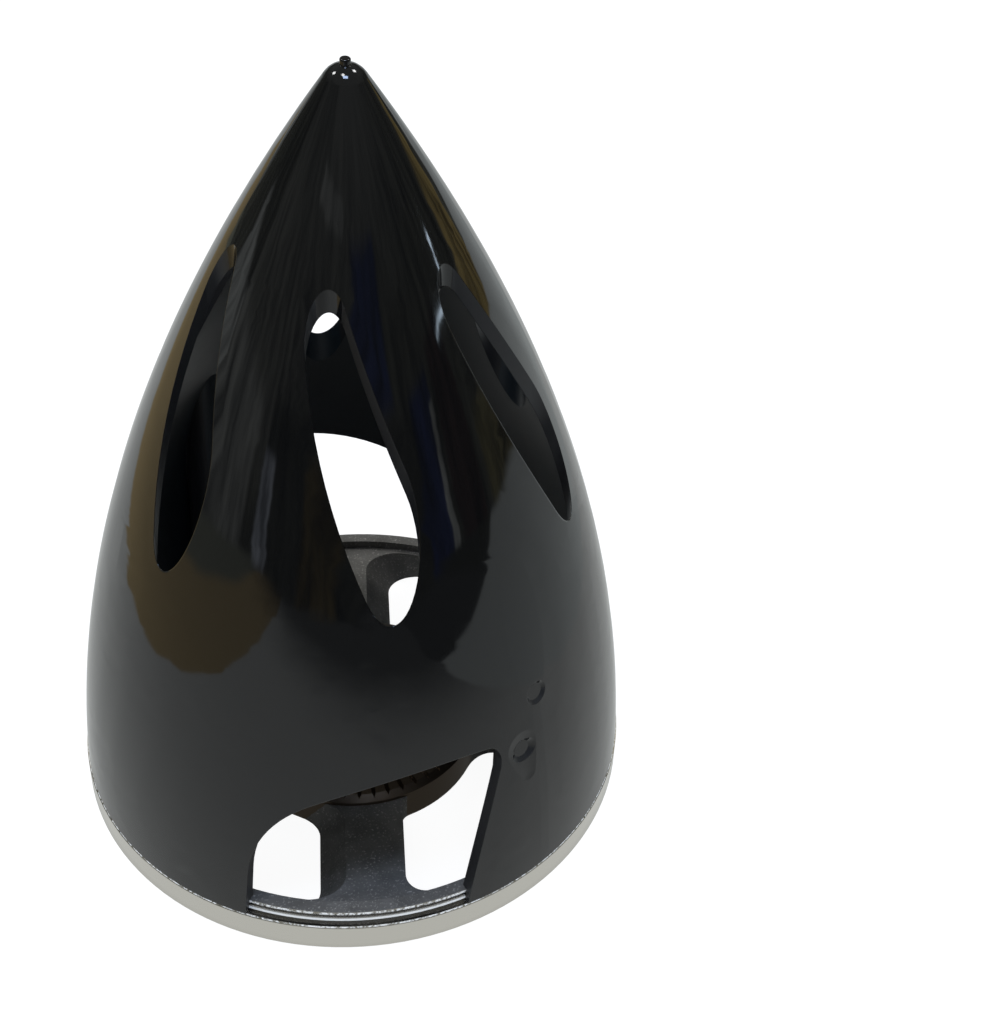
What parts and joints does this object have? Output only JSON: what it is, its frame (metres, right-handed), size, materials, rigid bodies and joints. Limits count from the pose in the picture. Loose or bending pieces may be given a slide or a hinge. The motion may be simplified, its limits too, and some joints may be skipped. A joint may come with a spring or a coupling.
{
  "type": "propeller spinner",
  "caption": "Pointed propeller spinner: a thin gloss shell with swirled air vents and blade cut-outs, seated on a spoked metal backplate with a serrated hub.",
  "frame": {"origin": "centre of the backplate's rear face, on the shaft's axis", "axes": "+Z along the shaft to the nose, a blade cut-out faces -Y and another +Y"},
  "size_m": [0.0826, 0.0826, 0.1203],
  "materials": {
    "shell": "gloss black, moulded",
    "plate": "as cast, with turned rim and spigot",
    "screw": "plated steel"
  },
  "bodies": {
    "root": {"spinner_shell": "shell", "backplate": "plate", "shell_screws": "screw"}
  },
  "joints": []
}
